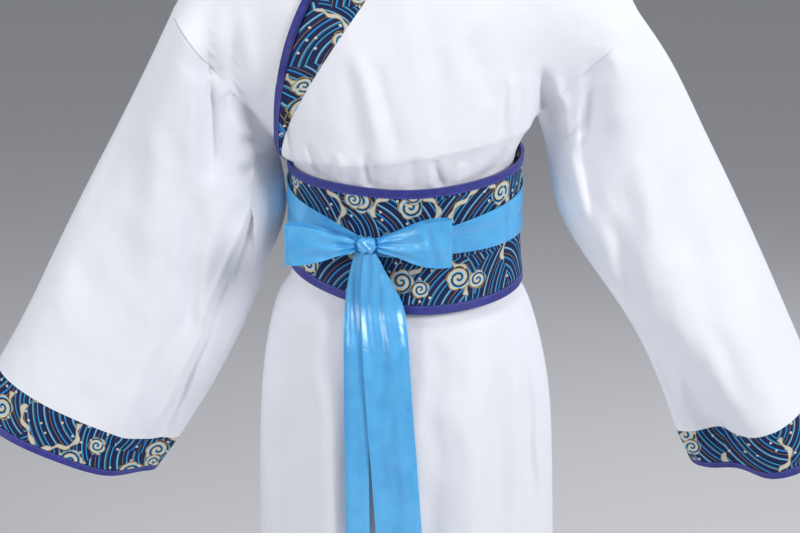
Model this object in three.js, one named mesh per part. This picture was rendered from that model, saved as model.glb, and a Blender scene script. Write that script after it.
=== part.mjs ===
// A child's cross-collar hanfu robe, filled out as it is worn, with its printed waistband and a satin
// ribbon tied in a bow.
// Millimetres, +Z up. +X is the wearer's left, -Y is the front. The origin is between the shoulders, level
// with the side neck.
import * as THREE from "three";

// Driving dimensions
const CLOTH = 1.6; // wall of the white cloth
const BAND_WALL = 2.2; // folded, interfaced print bands
const BINDING_WALL = 3; // bias binding, wrapped round an edge
const BINDING_WIDTH = 9;
const SEAM_GAP = 0.3;
const LAYER_STEP = 4.4; // from one lapped front to the other
const SKIRT_STEP = 6; // the same below the waistband, where they hang loose
const NECK_HALF = 52; // side neck from the middle
const SEAM_TOP = { x: 226, z: -121 }; // where the sleeve seam crosses the top of the arm
const SHOULDER_SLOPE = 0.27;
const ARMPIT = { left: -228, right: -250 }; // heights of the two underarm points
const LEVEL_STEP = 100; // height of one unit of v below the armpits
const CHEST_LEVEL = -239;
const HEM = 8.46;
const SHOULDER_FRONT = 48; // how far an armhole stands forward of the shoulder line
const SHOULDER_BACK = 42;
const WAIST_DIP = 24; // the waistband hangs this much lower in front
const COLLAR_WIDTH = 57;
const CUFF_WIDTH = 58;
// v of the waistband's edges, its inner face above the robe, and how much higher it ends on the wearer's
// right.
const WAISTBAND = { top: 1.18, bottom: 2.46, inner: 7.4, rightRise: 0.2, collarDrop: 0.05 };
const RIBBON_WALL = 1;
const RIBBON_WIDTH = 45;

const SKIRT_ASIDE = 4; // how far the skirt hangs towards the wearer's left

// Rings of the robe from the armpits down: half width, depth forward and depth back of the side seams.
const ROBE_RINGS = [
  { v: 1, half: 126, front: 92, back: 80 },
  { v: 1.09, half: 116.5, front: 84, back: 73.5 },
  { v: 1.18, half: 108.5, front: 78, back: 69 },
  { v: 1.8, half: 105, front: 75, back: 67 },
  { v: 2.46, half: 108.5, front: 79.5, back: 70 },
  { v: 2.62, half: 121, front: 92, back: 83 },
  { v: 3.1, half: 135, front: 97, back: 93 },
  { v: 3.8, half: 145, front: 101, back: 98 },
  { v: 5.5, half: 149, front: 104, back: 102 },
  { v: HEM, half: 160, front: 112, back: 108 },
];

// The edge of the upper front, from the side neck across the chest to the wearer's right side.
const LAPEL = [
  { v: 0, q: 0.23, band: 42 },
  { v: 0.2, q: 0.2, band: 46 },
  { v: 0.4, q: 0.07, band: 55 },
  { v: 0.55, q: -0.13, band: 57 },
  { v: 0.7, q: -0.4, band: 50 },
  { v: 0.85, q: -0.63, band: 31 },
  { v: 1, q: -0.79, band: 13 },
  { v: 1.1, q: -0.814, band: 13 },
  { v: 1.28, q: -0.857, band: 13 },
  { v: 1.9, q: -0.96, band: 13 },
  { v: 3, q: -1.04, band: 13 },
  { v: HEM, q: -1.04, band: 13 },
];

// Sleeve sections from the armhole seam (t 0) to the cuff seam (t 1): upper edge, under edge, depths and
// setting back.
const RIGHT_SLEEVE = [
  { t: 0, overX: -226, overZ: -121, underX: -126, underZ: -250, front: 48, back: 42, set: 0, drop: 0 },
  { t: 0.15, overX: -254, overZ: -177, underX: -119, underZ: -283, front: 58, back: 44, set: 12, drop: 0 },
  { t: 0.3, overX: -285, overZ: -236, underX: -117, underZ: -320, front: 62, back: 44, set: 20, drop: 0 },
  { t: 0.5, overX: -322, overZ: -304, underX: -136, underZ: -372, front: 62, back: 46, set: 20, drop: 2 },
  { t: 0.7, overX: -358, overZ: -375, underX: -160, underZ: -437, front: 60, back: 50, set: 14, drop: 4 },
  { t: 0.85, overX: -384, overZ: -428, underX: -190, underZ: -494, front: 60, back: 54, set: 8, drop: 6 },
  { t: 1, overX: -412, overZ: -475, underX: -229, underZ: -556, front: 62, back: 56, set: 4, drop: 8 },
  { t: 1.16, overX: -438, overZ: -524, underX: -256, underZ: -592, front: 64, back: 58, set: 2, drop: 10 },
];
const LEFT_SLEEVE = [
  { t: 0, overX: 226, overZ: -121, underX: 126, underZ: -228, front: 48, back: 42, set: 0, drop: 0 },
  { t: 0.15, overX: 262, overZ: -172, underX: 138, underZ: -262, front: 56, back: 50, set: 6, drop: 0 },
  { t: 0.3, overX: 292, overZ: -232, underX: 148, underZ: -312, front: 62, back: 58, set: 8, drop: 2 },
  { t: 0.5, overX: 327, overZ: -300, underX: 176, underZ: -362, front: 68, back: 64, set: 8, drop: 8 },
  { t: 0.7, overX: 362, overZ: -373, underX: 216, underZ: -416, front: 74, back: 68, set: 6, drop: 16 },
  { t: 0.85, overX: 388, overZ: -430, underX: 252, underZ: -482, front: 80, back: 72, set: 4, drop: 22 },
  { t: 1, overX: 412, overZ: -482, underX: 274, underZ: -543, front: 84, back: 76, set: 2, drop: 26 },
  { t: 1.16, overX: 436, overZ: -534, underX: 292, underZ: -580, front: 86, back: 78, set: 2, drop: 28 },
];
// The lapped fold along the underside of each sleeve: where it starts, where it lies at the cuff, and how
// deep it is.
const SLEEVE_FOLDS = {
  right: { start: 0.45, at: 0.78, share: 0.42, dent: 8 },
  left: { start: 0.5, at: 0.56, share: 0.5, dent: 10 },
};

// Small helpers
const lerp = (a, b, t) => a + (b - a) * t;
const clamp01 = (x) => Math.min(1, Math.max(0, x));
const smooth = (a, b, x) => {
  const t = clamp01((x - a) / (b - a));
  return t * t * (3 - 2 * t);
};
const hump = (x, width) => Math.exp(-((x / width) ** 2));

// One column of a table at a place along it, on a smooth curve that never overshoots its rows.
function column(rows, along, name, at) {
  const last = rows.length - 1;
  if (at <= rows[0][along]) return rows[0][name];
  if (at >= rows[last][along]) return rows[last][name];
  const slope = (i) => (rows[i + 1][name] - rows[i][name]) / (rows[i + 1][along] - rows[i][along]);
  const tangent = (i) => {
    if (i === 0) return slope(0);
    if (i === last) return slope(last - 1);
    const [before, after] = [slope(i - 1), slope(i)];
    return before * after <= 0 ? 0 : (2 * before * after) / (before + after);
  };
  const i = rows.findIndex((row) => row[along] > at) - 1;
  const span = rows[i + 1][along] - rows[i][along];
  const s = (at - rows[i][along]) / span;
  const [a, b] = [rows[i][name], rows[i + 1][name]];
  const cubic = s * s * (3 - 2 * s);
  return a + (b - a) * cubic + span * s * (1 - s) * ((1 - s) * tangent(i) - s * tangent(i + 1));
}

// A direction across a surface from two nearby points, and the unit normal facing out.
function normalOf(surface, u, v, facing) {
  const step = 1e-3;
  const du = surface(u + step, v).sub(surface(u - step, v));
  const dv = surface(u, v + step).sub(surface(u, v - step));
  return du.cross(dv).normalize().multiplyScalar(facing);
}

// A closed wall on a surface. inner and outer are its faces' heights along the normal, and tube joins the
// first and last u.
function wall({ surface, us, vs, inner, outer, tube = false, facing = 1 }) {
  const positions = [];
  const index = [];
  const columns = us.length;
  const rowsOf = vs.length;
  const level = (height, u, v) => (typeof height === "function" ? height(u, v) : height);
  for (const height of [inner, outer])
    for (const vRow of vs)
      for (const u of us) {
        const v = typeof vRow === "function" ? vRow(u) : vRow;
        const p = surface(u, v).addScaledVector(normalOf(surface, u, v, facing), level(height, u, v));
        positions.push(p.x, p.y, p.z);
      }
  const at = (layer, row, col) => layer * columns * rowsOf + row * columns + (col % columns);
  const quad = (a, b, c, d) => index.push(a, b, c, a, c, d);
  const across = tube ? columns : columns - 1;
  for (let row = 0; row < rowsOf - 1; row++)
    for (let col = 0; col < across; col++) {
      quad(at(1, row, col), at(1, row, col + 1), at(1, row + 1, col + 1), at(1, row + 1, col));
      quad(at(0, row, col), at(0, row + 1, col), at(0, row + 1, col + 1), at(0, row, col + 1));
    }
  for (let col = 0; col < across; col++) {
    const end = rowsOf - 1;
    quad(at(0, 0, col), at(0, 0, col + 1), at(1, 0, col + 1), at(1, 0, col));
    quad(at(0, end, col), at(1, end, col), at(1, end, col + 1), at(0, end, col + 1));
  }
  if (!tube)
    for (let row = 0; row < rowsOf - 1; row++) {
      const end = columns - 1;
      quad(at(0, row, 0), at(1, row, 0), at(1, row + 1, 0), at(0, row + 1, 0));
      quad(at(0, row, end), at(0, row + 1, end), at(1, row + 1, end), at(1, row, end));
    }
  if (facing < 0) index.reverse();
  const geometry = new THREE.BufferGeometry();
  geometry.setAttribute("position", new THREE.Float32BufferAttribute(positions, 3));
  geometry.setIndex(index);
  geometry.computeVertexNormals();
  return geometry;
}

const steps = (from, to, count) => Array.from({ length: count + 1 }, (_, i) => lerp(from, to, i / count));

// The robe's surface
// q runs round the body: 0 is the middle of the front, +1 the wearer's left side seam, -1 the right one, 2
// the middle back.
// v is 0 on the shoulder line, 1 at the armpits, and grows by 1 for each LEVEL_STEP below them.
const SQUARENESS = 2.3;

function ring(q, v) {
  const angle = (q * Math.PI) / 2;
  const [s, c] = [Math.sin(angle), Math.cos(angle)];
  const half = column(ROBE_RINGS, "v", "half", v);
  const depth = column(ROBE_RINGS, "v", c > 0 ? "front" : "back", v);
  const radius = (Math.abs(s / half) ** SQUARENESS + Math.abs(c / depth) ** SQUARENESS) ** (-1 / SQUARENESS);
  return { x: radius * s, y: -radius * c };
}

function ridgeHeight(x) {
  const out = Math.abs(x) - NECK_HALF;
  const reach = SEAM_TOP.x - NECK_HALF;
  const drop = -SEAM_TOP.z - SHOULDER_SLOPE * reach;
  return -SHOULDER_SLOPE * out - drop * Math.max(0, out / reach) ** 4;
}

const armpitHeight = (q) => lerp(ARMPIT.right, ARMPIT.left, (Math.sin((q * Math.PI) / 2) + 1) / 2);

// Soft vertical folds of the skirt, which grow from the waist to the hem.
const SKIRT_FOLDS = [
  { q: -0.62, width: 0.1, depth: -5 },
  { q: -0.3, width: 0.09, depth: 3 },
  { q: 0.08, width: 0.12, depth: -4 },
  { q: 0.42, width: 0.1, depth: 4 },
  { q: 0.78, width: 0.07, depth: -6 },
  { q: 1.25, width: 0.1, depth: 5 },
  { q: 1.6, width: 0.1, depth: -6 },
  { q: 1.95, width: 0.12, depth: 4 },
  { q: -1.62, width: 0.1, depth: 5 },
  { q: -1.3, width: 0.1, depth: -6 },
];
// Creases that fall from the shoulders, across robe and sleeve alike. depth is into the cloth.
const FALLING_FOLDS = [
  { face: "front", fromX: -184, fromZ: -80, toX: -178, toZ: -300, width: 9, depth: 8 },
  { face: "front", fromX: -205, fromZ: -110, toX: -214, toZ: -330, width: 12, depth: -4 },
  { face: "front", fromX: 172, fromZ: -130, toX: 178, toZ: -300, width: 8, depth: 7 },
  { face: "front", fromX: 122, fromZ: -168, toX: 118, toZ: -236, width: 8, depth: 5 },
  { face: "back", fromX: -160, fromZ: -70, toX: -168, toZ: -290, width: 10, depth: -7 },
  { face: "back", fromX: 158, fromZ: -70, toX: 170, toZ: -290, width: 10, depth: -7 },
];

function skirtFold(q, v) {
  const apart = (fold) => Math.min(Math.abs(q - fold.q), Math.abs(q + 4 - fold.q), Math.abs(q - 4 - fold.q));
  const full = SKIRT_FOLDS.reduce((sum, fold) => sum + fold.depth * hump(apart(fold), fold.width), 0);
  return full * smooth(2.6, 7, v);
}

// How far back (+Y) the falling folds move a point of one face.
function fallingFold(face, x, z) {
  let moved = 0;
  for (const fold of FALLING_FOLDS) {
    if (fold.face !== face) continue;
    const [dx, dz] = [fold.toX - fold.fromX, fold.toZ - fold.fromZ];
    const length = Math.hypot(dx, dz);
    const along = ((x - fold.fromX) * dx + (z - fold.fromZ) * dz) / length;
    const beside = ((x - fold.fromX) * dz - (z - fold.fromZ) * dx) / length;
    const present = smooth(-5, 45, along) * (1 - smooth(length - 45, length + 5, along));
    moved += fold.depth * present * hump(beside, fold.width);
  }
  return moved;
}

// The neck opening in plan, inside which the collar's foundation turns up round the neck.
const NECK = { x: 53, y: 38, middleY: -17, power: 2.6, steepness: 0.85, rise: 85, easing: 0.35 };
function turnUpAtNeck(p) {
  const [ex, ey] = [p.x / NECK.x, (p.y - NECK.middleY) / NECK.y];
  const radius = (Math.abs(ex) ** NECK.power + Math.abs(ey) ** NECK.power) ** (1 / NECK.power);
  const inside = Math.max(0, 1 - radius);
  if (inside <= 0 || inside > 0.97) return p;
  const turned = inside ** 2 / (inside + NECK.easing);
  const scale = (radius + NECK.steepness * turned) / radius;
  p.set(p.x * scale, (p.y - NECK.middleY) * scale + NECK.middleY, p.z + NECK.rise * turned);
  return p;
}

function robe(q, v) {
  const wrapped = q > 2 ? q - 4 : q < -2 ? q + 4 : q;
  const angle = (wrapped * Math.PI) / 2;
  if (v >= 1) {
    const flat = ring(wrapped, v);
    const grown = 1 + skirtFold(wrapped, v) / Math.hypot(flat.x, flat.y);
    const dipShare = lerp(0.5, 1, smooth(1, WAISTBAND.top, v)) * (1 - smooth(2.46, 4.2, v));
    const dip = WAIST_DIP * Math.cos(angle) * dipShare;
    const level = CHEST_LEVEL - (v - 1) * LEVEL_STEP;
    const tilt = (armpitHeight(wrapped) - CHEST_LEVEL) * (1 - smooth(1, WAISTBAND.top, v));
    const aside = SKIRT_ASIDE * smooth(2.6, 4, v);
    return new THREE.Vector3(flat.x * grown + aside, flat.y * grown, level + tilt - dip);
  }
  const rising = (v * Math.PI) / 2;
  const up = Math.cos(rising);
  const isFront = Math.abs(wrapped) <= 1;
  const side = isFront ? wrapped : Math.sign(wrapped) * (2 - Math.abs(wrapped));
  const flat = ring(wrapped, 1);
  const bottom = armpitHeight(wrapped) - WAIST_DIP * 0.5 * Math.cos(angle);
  const topX = SEAM_TOP.x * side;
  const inward = Math.max(0, up) ** (1 + 1.4 * (1 - side ** 8));
  const bulge = (isFront ? -SHOULDER_FRONT : SHOULDER_BACK) * side ** 4 * Math.sin(2 * rising);
  const place = new THREE.Vector3(
    lerp(flat.x, topX, inward),
    flat.y * Math.sin(rising) + bulge,
    lerp(bottom, ridgeHeight(topX), up),
  );
  const apart = smooth(0, 0.15, v) * (1 - smooth(0.75, 0.97, v));
  place.y += fallingFold(isFront ? "front" : "back", place.x, place.z) * apart;
  return turnUpAtNeck(place);
}

// Height of the lapped layers: the upper front is a step out on the wearer's right, the under front a step
// in on the left.
const lap = (q) => 1 - smooth(-0.45, 0.45, q);
const stepAt = (v) => lerp(LAYER_STEP, SKIRT_STEP, smooth(2.6, 3.6, v));
const overHeight = (q, v) => stepAt(v) * lap(q);
const underHeight = (q, v) => -stepAt(v) * (1 - lap(q));

const lapelEdge = (v) => column(LAPEL, "v", "q", v);
const seamQ = SEAM_GAP / 160; // half a seam gap, in q
const seamV = SEAM_GAP / 140;

const white = new THREE.MeshStandardMaterial({ color: 0xf1f2f8, roughness: 0.75 });
const print = new THREE.MeshStandardMaterial({ color: 0x1d4f86, roughness: 0.7 });
const royal = new THREE.MeshStandardMaterial({ color: 0x2c2f96, roughness: 0.5 });
const satin = new THREE.MeshStandardMaterial({ color: 0x55b4ea, roughness: 0.35 });

const garment = new THREE.Group();
function add(name, geometry, material) {
  const mesh = new THREE.Mesh(geometry, material);
  mesh.name = name;
  garment.add(mesh);
}

// Back
const NECK_Q = 0.23;
const BACK_NECK_V = 0.17;
const backNeck = (q) => {
  const across = Math.abs(2 - Math.abs(q)) / NECK_Q;
  return across >= 1 ? 0 : BACK_NECK_V * Math.sqrt(1 - across * across);
};
const NECK_STOPS = [1, 0.75, 0.5, 0.25];
const neckColumns = NECK_STOPS.map((stop) => 2 - NECK_Q * Math.sin((stop * Math.PI) / 2));
const BACK_COLUMNS = [1 + seamQ, 1.12, 1.25, 1.38, 1.51, 1.64, ...neckColumns];
const backUs = [...BACK_COLUMNS, 2, ...BACK_COLUMNS.toReversed().map((q) => 4 - q)];
const rowsBelow = (top, levels) => [seamV, ...levels].map((v, i) => (i === 0 ? (u) => top(u) + v : v));
const YOKE_LEVELS = [0.27, 0.38, 0.5, 0.62, 0.74, 0.86, 0.93, 1];
const WAIST_LEVELS = [1.015, 1.05, 1.11, WAISTBAND.top, 1.45, 2.1, 2.46, 2.54, 2.62];
const SKIRT_LEVELS = [...WAIST_LEVELS, 2.85, 3.2, 3.7, 4.5, 5.5, 6.6, 7.6, HEM];
add(
  "back",
  wall({
    surface: robe,
    us: backUs,
    vs: rowsBelow(backNeck, [...YOKE_LEVELS, ...SKIRT_LEVELS]),
    inner: -CLOTH,
    outer: 0,
    facing: -1,
  }),
  white,
);

// Fronts
// A front is drawn between its lapped edge (s 0) and its side (s 1).
// The upper one draws back a little where its lapel turns in above the waistband.
const lapelEase = (v) => 0.0085 * hump(v - 1.06, 0.09);
const frontSurface = (s, v) => robe(lerp(lapelEdge(v) + lapelEase(v), 1 - seamQ, s), v);
const FRONT_LEVELS = [seamV, 0.08, 0.17, ...YOKE_LEVELS];
add(
  "front_upper",
  wall({
    surface: frontSurface,
    us: steps(0, 1, 17),
    vs: [...FRONT_LEVELS, ...SKIRT_LEVELS],
    inner: (s, v) => overHeight(lerp(lapelEdge(v), 1, s), v) - CLOTH,
    outer: (s, v) => overHeight(lerp(lapelEdge(v), 1, s), v),
    facing: -1,
  }),
  white,
);
const UNDER_LEVELS = [...WAIST_LEVELS, 3.2, 4.5, 6.6, HEM];
const underEdge = (v) => Math.max(lapelEdge(v), -0.74);
add(
  "front_under",
  wall({
    surface: (s, v) => robe(lerp(-1 + seamQ, -underEdge(v) - 4 * seamQ, s), v),
    us: steps(0, 1, 14),
    vs: [...FRONT_LEVELS, ...UNDER_LEVELS],
    inner: (s, v) => underHeight(lerp(-1, -underEdge(v), s), v) - CLOTH,
    outer: (s, v) => underHeight(lerp(-1, -underEdge(v), s), v),
    facing: -1,
  }),
  white,
);

// Sleeves, cuffs and their binding
function sleeveSurface(rows, side, fold) {
  const section = (turn, t) => {
    const get = (name) => column(rows, "t", name, t);
    const [c, s] = [Math.cos(turn), Math.sin(turn)];
    const radius = (Math.abs(c) ** SQUARENESS + Math.abs(s) ** SQUARENESS) ** (-1 / SQUARENESS);
    const over = new THREE.Vector3(get("overX"), get("set"), get("overZ"));
    const under = new THREE.Vector3(get("underX"), get("set"), get("underZ"));
    const point = over.clone().lerp(under, 0.5 - (radius * c) / 2);
    const along = Math.acos(Math.max(-1, Math.min(1, radius * c))) / Math.PI;
    const growing = smooth(fold.start, 1, t);
    const line = lerp(1, fold.at, growing);
    const isFront = s > 0;
    const behind = isFront ? fold.share * growing * smooth(line - 0.1, line + 0.1, along) : 0;
    const dent = isFront ? fold.dent * growing * hump(along - line, 0.1) * Math.min(1, 1.6 * s) : 0;
    point.y += isFront ? -radius * s * get("front") * (1 - behind) + dent : -radius * s * get("back");
    point.z -= get("drop") * (isFront ? radius * s * (1 - behind) : 0);
    point.y += fallingFold(isFront ? "front" : "back", point.x, point.z) * Math.abs(s);
    return point;
  };
  const seam = (turn) => {
    const half = turn / Math.PI;
    const isFront = half <= 1;
    return robe(side * (isFront ? 1 - 1e-6 : 1 + 1e-6), isFront ? half : 2 - half);
  };
  const BLEND = 0.4;
  return (turn, t) => {
    const around = ((turn % (2 * Math.PI)) + 2 * Math.PI) % (2 * Math.PI);
    const away = 1 - smooth(0, BLEND, t);
    const point = section(around, t);
    return away > 0 ? point.add(seam(around).sub(section(around, 0)).multiplyScalar(away)) : point;
  };
}
const FRONT_TURNS = [0, 0.08, 0.17, 0.27, 0.38, 0.5, 0.56, 0.62, 0.68, 0.74, 0.8, 0.86, 0.93, 1];
const BACK_TURNS = [1.07, 1.14, 1.26, 1.38, 1.5, 1.62, 1.73, 1.83, 1.92];
const SLEEVE_TURNS = [...FRONT_TURNS, ...BACK_TURNS].map((half) => half * Math.PI);
const SLEEVE_LENGTH = 400;
const CUFF_END = 1 + CUFF_WIDTH / SLEEVE_LENGTH;
const cuffGap = (1.4 * SEAM_GAP) / SLEEVE_LENGTH;
const cuffBindingTop = CUFF_END - BINDING_WIDTH / SLEEVE_LENGTH;
const sleeves = {
  right: sleeveSurface(RIGHT_SLEEVE, -1, SLEEVE_FOLDS.right),
  left: sleeveSurface(LEFT_SLEEVE, 1, SLEEVE_FOLDS.left),
};
for (const [side, surface] of Object.entries(sleeves)) {
  const facing = side === "left" ? 1 : -1;
  const tube = (vs, inner, outer) =>
    wall({ surface, us: SLEEVE_TURNS, vs, inner, outer, tube: true, facing });
  const sleeveStops = [0.003, 0.05, 0.13, 0.22, 0.31, 0.4, 0.5, 0.6, 0.7, 0.8, 0.9, 1 - cuffGap];
  add(`sleeve_${side}`, tube(sleeveStops, -CLOTH, 0), white);
  add(`cuff_${side}`, tube([1 + cuffGap, 1.06, cuffBindingTop - cuffGap], -BAND_WALL, 0.2), print);
  add(`cuff_binding_${side}`, tube([cuffBindingTop + cuffGap, CUFF_END], -BINDING_WALL + 0.5, 0.5), royal);
}

// Collar band and its binding
// Station 0 is the middle of the back neck and 1 the side neck, then 1 + v down a lapel. Positive stations
// are the wearer's left.
// across is 0 on the seam and 1 on the free edge.
const COLLAR_END = 2.55;
function collarSeam(station) {
  const side = Math.sign(station) || 1;
  const s = Math.abs(station);
  if (s >= 1) {
    const q = side > 0 ? lapelEdge(s - 1) : -underEdge(s - 1);
    return { q, v: s - 1, width: column(LAPEL, "v", "band", s - 1) };
  }
  const turn = (s * Math.PI) / 2;
  return { q: side * (2 - NECK_Q * Math.sin(turn)), v: BACK_NECK_V * Math.cos(turn), width: LAPEL[0].band };
}

// Walks over the robe at right angles to the seam, or straight uphill where the band stands round the neck.
function collarPlace(station, across) {
  let { q, v, width } = collarSeam(station);
  const [before, after] = [collarSeam(station - 0.04), collarSeam(station + 0.04)];
  const along = robe(after.q, after.v).sub(robe(before.q, before.v)).normalize();
  let heading = null;
  const standing = 1 - smooth(1.08, 1.4, Math.abs(station));
  const STRIDE = 3;
  for (let left = width * across; left > 1e-6; left -= STRIDE) {
    const alongQ = robe(q + 1e-3, v).sub(robe(q - 1e-3, v)).multiplyScalar(500);
    const alongV = robe(q, v + 1e-3).sub(robe(q, v - 1e-3)).multiplyScalar(500);
    const out = alongQ.clone().cross(alongV).normalize();
    heading = heading
      ? heading.addScaledVector(out, -heading.dot(out)).normalize()
      : out.clone().cross(along).normalize();
    const uphill = new THREE.Vector3(0, 0, 1).addScaledVector(out, -out.z).normalize();
    heading.lerp(uphill, standing).normalize();
    const [qq, qv, vv] = [alongQ.dot(alongQ), alongQ.dot(alongV), alongV.dot(alongV)];
    const [hq, hv] = [heading.dot(alongQ), heading.dot(alongV)];
    const step = Math.min(left, STRIDE);
    const area = qq * vv - qv * qv;
    const [moveQ, moveV] = [((hq * vv - hv * qv) / area) * step, ((hv * qq - hq * qv) / area) * step];
    const here = robe(q, v);
    let share = 1;
    for (let k = 0; k < 3; k++) share *= step / robe(q + moveQ * share, v + moveV * share).distanceTo(here);
    q += moveQ * share;
    v += moveV * share;
  }
  return { q, v };
}
const collar = (station, across) => {
  const { q, v } = collarPlace(station, across);
  return robe(q, v);
};
const collarHeight = (station, across) => {
  const { q, v } = collarPlace(station, across);
  if (Math.abs(q) > 1.3) return 0;
  return station > 0 ? overHeight(q, v) : underHeight(q, v) - 3.5 * (1 - lap(q));
};
const COLLAR_YOKE = [0.08, 0.17, 0.22, 0.27, 0.32, 0.38, 0.44, ...YOKE_LEVELS.slice(2, -1)];
const COLLAR_WAIST = [1.015, 1.05, 1.11, WAISTBAND.top, 1.45, COLLAR_END - 1];
const COLLAR_LEVELS = [...COLLAR_YOKE, ...COLLAR_WAIST].map((v) => v + 1);
const collarHalf = [0, ...NECK_STOPS.toReversed(), ...COLLAR_LEVELS];
const COLLAR_STATIONS = [...collarHalf.slice(1).toReversed().map((s) => -s), ...collarHalf];
// Rows across the band: along the seam, between, and along the binding, which keeps its width where the
// band narrows.
const bindingFrom = (station) => 1 - BINDING_WIDTH / collarSeam(station).width;
const collarGap = (station) => (2.2 * SEAM_GAP) / collarSeam(station).width;
const collarRow = (share) => (station) => bindingFrom(station) * share;
add(
  "collar",
  wall({
    surface: collar,
    us: COLLAR_STATIONS,
    vs: [
      collarGap,
      ...[0.25, 0.5, 0.75].map(collarRow),
      (station) => bindingFrom(station) - collarGap(station),
    ],
    inner: (station, across) => collarHeight(station, across) - 0.7,
    outer: (station, across) => collarHeight(station, across) + BAND_WALL - 1,
    facing: -1,
  }),
  print,
);
add(
  "collar_binding",
  wall({
    surface: collar,
    us: COLLAR_STATIONS,
    vs: [bindingFrom, () => 1],
    inner: (station, across) => collarHeight(station, across) - 0.9,
    outer: (station, across) => collarHeight(station, across) + BINDING_WALL - 1.6,
    facing: -1,
  }),
  royal,
);

// Waistband and its bindings
const bandEdge = BINDING_WIDTH / LEVEL_STEP;
const bandGap = (1.4 * SEAM_GAP) / LEVEL_STEP;
const BAND_TURNS = steps(-2 + 2 * seamQ, 2 - 2 * seamQ, 34);
const band = (name, vs, swell, material) =>
  add(
    name,
    wall({
      surface: robe,
      us: BAND_TURNS,
      vs,
      inner: WAISTBAND.inner - swell / 2,
      outer: WAISTBAND.inner + BAND_WALL + swell,
      facing: -1,
    }),
    material,
  );
// The lower edge rises on the wearer's right; q - 2.9 is the same place counted on past the middle back.
const bandRise = (q) => hump(q + 1.1, 0.9) + hump(q - 2.9, 0.9);
const bandBottom = (q) => WAISTBAND.bottom - WAISTBAND.rightRise * bandRise(q);
const bandTop = (q) => WAISTBAND.top + WAISTBAND.collarDrop * hump(q + 0.85, 0.35);
const bandRow = (share) => (q) => lerp(bandTop(q) + bandEdge, bandBottom(q) - bandEdge, share);
band("waistband", [0, 0.27, 0.5, 0.75, 1].map(bandRow), 0, print);
band("waistband_binding_top", [bandTop, (q) => bandTop(q) + bandEdge - bandGap], 0.5, royal);
band("waistband_binding_bottom", [(q) => bandBottom(q) - bandEdge + bandGap, bandBottom], 0.5, royal);

// Ribbon round the waistband
const KNOT = { q: -0.3, x: -37, y: -95.4, z: -333, half: { x: 9, y: 9, z: 8 } };
// Middle and width of the ribbon on its way round, from the knot past the wearer's left side and the back
// to the knot again.
const RIBBON_WAY = [
  { q: KNOT.q + 0.02, v: 1.77, width: 18 },
  { q: 0.2, v: 1.72, width: 24 },
  { q: 0.6, v: 1.71, width: 37 },
  { q: 1, v: 1.72, width: RIBBON_WIDTH },
  { q: 2, v: 1.78, width: RIBBON_WIDTH },
  { q: 3, v: 1.67, width: 42 },
  { q: 3.4, v: 1.71, width: 34 },
  { q: 4 + KNOT.q - 0.02, v: 1.77, width: 18 },
];
const ribbonV = (q, across) =>
  column(RIBBON_WAY, "q", "v", q) + ((across - 0.5) * column(RIBBON_WAY, "q", "width", q)) / LEVEL_STEP;
const RIBBON_TURNS = steps(RIBBON_WAY[0].q, RIBBON_WAY.at(-1).q, 32);
const ribbonOut = WAISTBAND.inner + BAND_WALL + 1.7;
add(
  "ribbon_wrap",
  wall({
    surface: (q, across) => robe(q, ribbonV(q, across)),
    us: RIBBON_TURNS,
    vs: [0, 0.5, 1],
    inner: ribbonOut,
    outer: ribbonOut + RIBBON_WALL,
    facing: -1,
  }),
  satin,
);

// Bow: two loops, the knot and two tails
const LOOPS = [
  { name: "bow_loop_right", side: -1, length: 70, tip: { half: 19.5, rise: -1, forward: -6 }, swell: 8 },
  { name: "bow_loop_left", side: 1, length: 73, tip: { half: 23, rise: 3, forward: 4 }, swell: 9 },
];
for (const loop of LOOPS) {
  // turn goes from the knot along the front to the tip and back behind; across runs down the ribbon's
  // width.
  const surface = (turn, across) => {
    const reach = (1 - Math.cos(turn)) / 2;
    const thick = lerp(3.4, loop.swell, smooth(0, 0.6, reach));
    const half = lerp(7, loop.tip.half, smooth(0, 0.8, reach));
    const [near, far] = [(loop.length * reach) / 4, (loop.length * (1 - reach)) / 12];
    const rounded = Math.sqrt(1 - Math.max(0, 1 - near) ** 2) * Math.sqrt(1 - Math.max(0, 1 - far) ** 2);
    return new THREE.Vector3(
      KNOT.x + loop.side * (KNOT.half.x + 0.5 + loop.length * reach),
      KNOT.y - loop.tip.forward * smooth(0, 0.9, reach) - thick * rounded * (Math.sin(turn) < 0 ? -1 : 1),
      KNOT.z + loop.tip.rise * reach - (across * 2 - 1) * half,
    );
  };
  add(
    loop.name,
    wall({
      surface,
      us: steps(0, 2 * Math.PI, 18).slice(0, -1),
      vs: [0, 0.2, 0.4, 0.6, 0.8, 1],
      inner: -RIBBON_WALL,
      outer: 0,
      tube: true,
      facing: -loop.side,
    }),
    satin,
  );
}

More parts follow.
